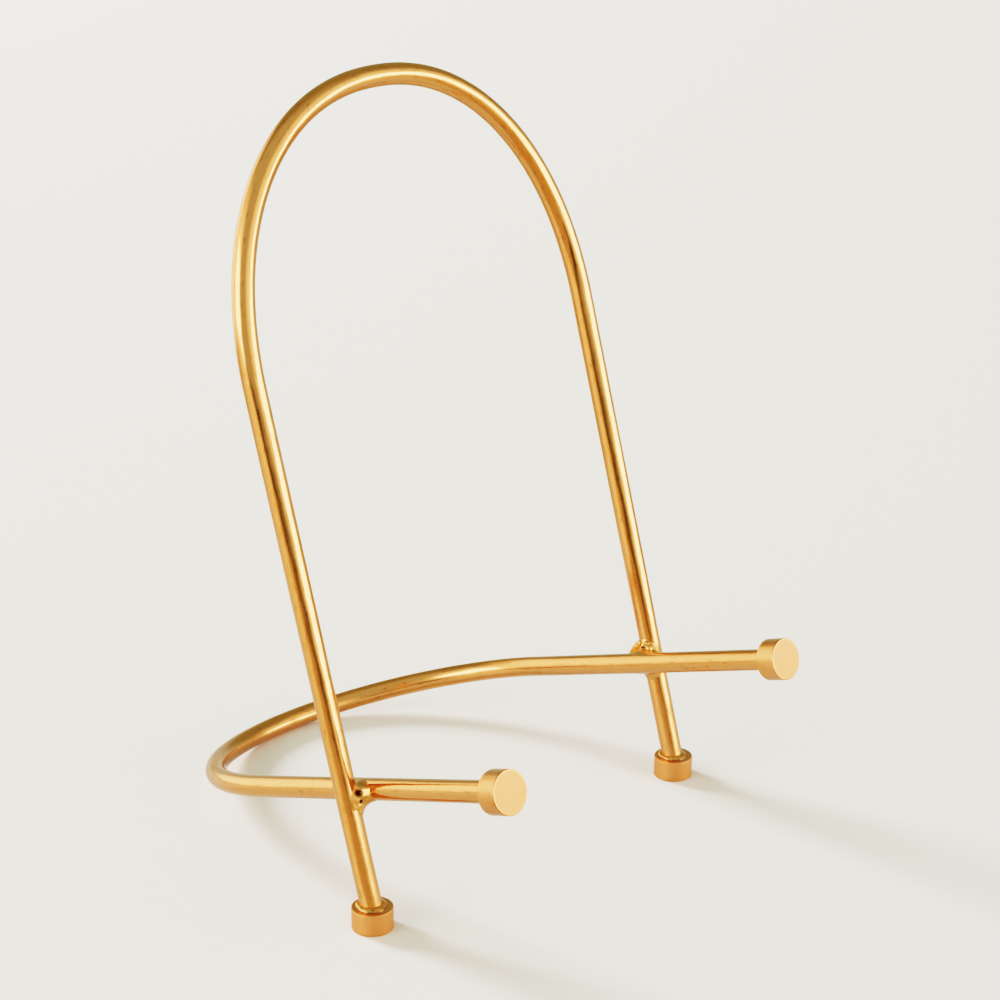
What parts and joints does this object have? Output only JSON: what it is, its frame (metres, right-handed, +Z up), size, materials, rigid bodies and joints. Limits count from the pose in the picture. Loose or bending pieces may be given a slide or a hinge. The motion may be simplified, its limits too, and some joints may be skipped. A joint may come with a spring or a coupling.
{
  "type": "display easel",
  "caption": "Tabletop display easel: a leaning arched rod on disc feet, crossed by a tilted U-shaped rod whose arms end in disc stops, to prop up a book, plate or picture.",
  "frame": {"origin": "on the table, at the middle of the easel's footprint box", "axes": "+Z up, -Y the front, where the stops are, +X to the right as seen from the front"},
  "size_m": [0.18, 0.2062, 0.2816],
  "materials": {
    "rod_brass": "satin, brushed along the rod and lacquered",
    "disc_brass": "turned, satin",
    "weld_brass": "as welded, bright, under the same lacquer"
  },
  "bodies": {
    "root": {"back_arch": "rod_brass", "base_loop": "rod_brass", "left_foot": "disc_brass", "right_foot": "disc_brass", "left_stop": "disc_brass", "right_stop": "disc_brass", "left_foot_weld": "weld_brass", "right_foot_weld": "weld_brass", "left_crossing_weld": "weld_brass", "right_crossing_weld": "weld_brass"}
  },
  "joints": []
}
